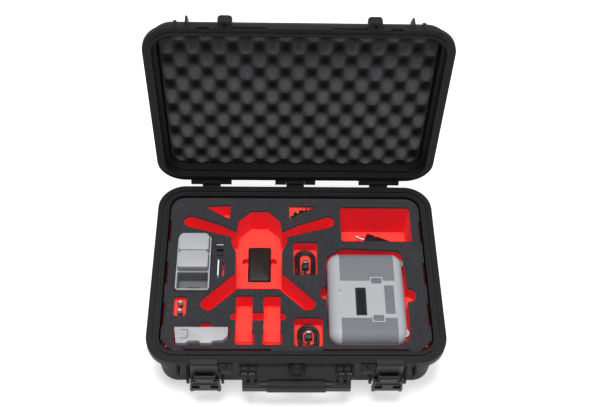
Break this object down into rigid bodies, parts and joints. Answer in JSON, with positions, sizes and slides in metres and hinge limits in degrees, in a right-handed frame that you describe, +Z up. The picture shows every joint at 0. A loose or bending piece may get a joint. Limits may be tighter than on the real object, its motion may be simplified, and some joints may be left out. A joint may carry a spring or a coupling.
{
  "type": "drone transport case",
  "caption": "Hard transport case with an egg crate lid, latches and cut foam that holds a drone's remote control, charging hub, batteries, charger and cables",
  "frame": {"origin": "Middle of the case's flat bottom", "axes": "+X to the right seen from the latches, +Y from the latches to the hinges, +Z up"},
  "size_m": [0.47, 0.4213, 0.4709],
  "materials": {
    "case_plastic": "fine grained moulded plastic",
    "latch_plastic": "fine grained moulded plastic",
    "soft_rubber": "matt rubber",
    "pin_steel": "plain steel",
    "foam_red": "closed cell foam, cut",
    "foam_dark": "closed cell foam, cut",
    "lid_foam": "open cell egg crate foam",
    "black_plastic": "smooth matt plastic",
    "light_plastic": "smooth matt plastic",
    "grip_rubber": "soft touch rubber",
    "plate_plastic": "smooth matt plastic",
    "screen_glass": "glossy cover",
    "bay_plastic": "smooth matt plastic",
    "contact_metal": "plated contacts",
    "dial_metal": "turned metal",
    "stick_metal": "turned metal",
    "prong_metal": "bright metal",
    "cable_rubber": "smooth cable sheath",
    "card_plastic": "smooth plastic"
  },
  "bodies": {
    "base": {"base_shell": "case_plastic", "base_lugs": "case_plastic", "rim_seal": "soft_rubber", "hinge_pins": "pin_steel", "latch_pins": "pin_steel", "handle_pins": "pin_steel", "valve_body": "case_plastic", "valve_seal": "soft_rubber", "foam_floor": "foam_red", "foam_lower": "foam_red", "foam_middle": "foam_red", "foam_block": "foam_red", "foam_cover": "foam_dark", "cable_short": "cable_rubber", "cable_short_plugs": "black_plastic", "cable_long": "cable_rubber", "cable_long_plugs": "black_plastic", "spare_props": "black_plastic", "control_sticks": "stick_metal", "memory_cards": "card_plastic", "storage_card": "card_plastic"},
    "lid": {"lid_shell": "case_plastic", "lid_lugs": "case_plastic", "lid_foam": "lid_foam"},
    "latch_left": {"latch_hook_left": "latch_plastic", "lever_pin_left": "pin_steel"},
    "lever_left": {"latch_lever_left": "latch_plastic"},
    "latch_right": {"latch_hook_right": "latch_plastic", "lever_pin_right": "pin_steel"},
    "lever_right": {"latch_lever_right": "latch_plastic"},
    "handle": {"handle_frame": "latch_plastic", "handle_grip": "soft_rubber"},
    "valve": {"valve_cap": "case_plastic"},
    "remote": {"remote_rear_shell": "light_plastic", "remote_front_shell": "light_plastic", "remote_screen": "screen_glass", "remote_grip_back": "grip_rubber", "remote_grip_front": "grip_rubber", "remote_vent": "black_plastic", "remote_plate": "plate_plastic", "remote_screws": "pin_steel"},
    "button_back": {"remote_button_back": "light_plastic"},
    "button_front": {"remote_button_front": "light_plastic"},
    "dial_back": {"remote_dial_back": "dial_metal"},
    "dial_front": {"remote_dial_front": "dial_metal"},
    "hub": {"hub_shell": "light_plastic", "hub_liner": "bay_plastic", "hub_contacts": "contact_metal"},
    "battery_middle": {"hub_battery_middle": "light_plastic"},
    "battery_back": {"hub_battery_back": "light_plastic"},
    "spare": {"spare_battery": "light_plastic", "spare_battery_clip": "bay_plastic"},
    "charging_block": {"charging_block": "black_plastic"},
    "charger": {"charger_body": "black_plastic", "charger_head": "black_plastic", "charger_prongs": "prong_metal"}
  },
  "joints": [
    {"name": "lid_hinge", "type": "hinge", "parent": "base", "child": "lid", "pos_m": [0, 0.178, 0.11], "axis": [-1, 0, 0], "range_deg": [-92.5, 0]},
    {"name": "latch_left", "type": "hinge", "parent": "base", "child": "latch_left", "pos_m": [-0.142, -0.178, 0.063], "axis": [1, 0, 0], "range_deg": [-8, 45]},
    {"name": "lever_left", "type": "hinge", "parent": "latch_left", "child": "lever_left", "pos_m": [-0.142, -0.186, 0.087], "axis": [-1, 0, 0], "range_deg": [0, 90]},
    {"name": "latch_right", "type": "hinge", "parent": "base", "child": "latch_right", "pos_m": [0.142, -0.178, 0.063], "axis": [1, 0, 0], "range_deg": [-8, 45]},
    {"name": "lever_right", "type": "hinge", "parent": "latch_right", "child": "lever_right", "pos_m": [0.142, -0.186, 0.087], "axis": [-1, 0, 0], "range_deg": [0, 90]},
    {"name": "handle_swing", "type": "hinge", "parent": "base", "child": "handle", "pos_m": [0, -0.178, 0.081], "axis": [-1, 0, 0], "range_deg": [0, 95]},
    {"name": "valve_turn", "type": "hinge", "parent": "base", "child": "valve", "pos_m": [0, -0.172, 0.089], "axis": [0, -1, 0], "range_deg": [0, 180]},
    {"name": "remote_lift", "type": "slide", "parent": "base", "child": "remote", "axis": [0, 0, 1], "range_m": [0, 0.08]},
    {"name": "button_back_press", "type": "slide", "parent": "remote", "child": "button_back", "axis": [0, 0, -1], "range_m": [0, 0.001], "stiffness_N_per_m": 200},
    {"name": "button_front_press", "type": "slide", "parent": "remote", "child": "button_front", "axis": [0, 0, -1], "range_m": [0, 0.001], "stiffness_N_per_m": 200},
    {"name": "dial_back_turn", "type": "hinge", "parent": "remote", "child": "dial_back", "pos_m": [0.1685, 0.01, 0.103], "axis": [0, 0, 1], "range_deg": [-25, 25], "stiffness_Nm_per_rad": 0.01},
    {"name": "dial_front_turn", "type": "hinge", "parent": "remote", "child": "dial_front", "pos_m": [0.1685, -0.119, 0.103], "axis": [0, 0, 1], "range_deg": [-25, 25], "stiffness_Nm_per_rad": 0.01},
    {"name": "hub_lift", "type": "slide", "parent": "base", "child": "hub", "axis": [0, 0, 1], "range_m": [0, 0.08]},
    {"name": "battery_middle_pull", "type": "slide", "parent": "hub", "child": "battery_middle", "axis": [0, 0, 1], "range_m": [0, 0.06]},
    {"name": "battery_back_pull", "type": "slide", "parent": "hub", "child": "battery_back", "axis": [0, 0, 1], "range_m": [0, 0.06]},
    {"name": "spare_battery_lift", "type": "slide", "parent": "base", "child": "spare", "axis": [0, 0, 1], "range_m": [0, 0.06]},
    {"name": "charging_block_lift", "type": "slide", "parent": "base", "child": "charging_block", "axis": [0, 0, 1], "range_m": [0, 0.09]},
    {"name": "charger_lift", "type": "slide", "parent": "base", "child": "charger", "axis": [0, 0, 1], "range_m": [0, 0.09]}
  ]
}
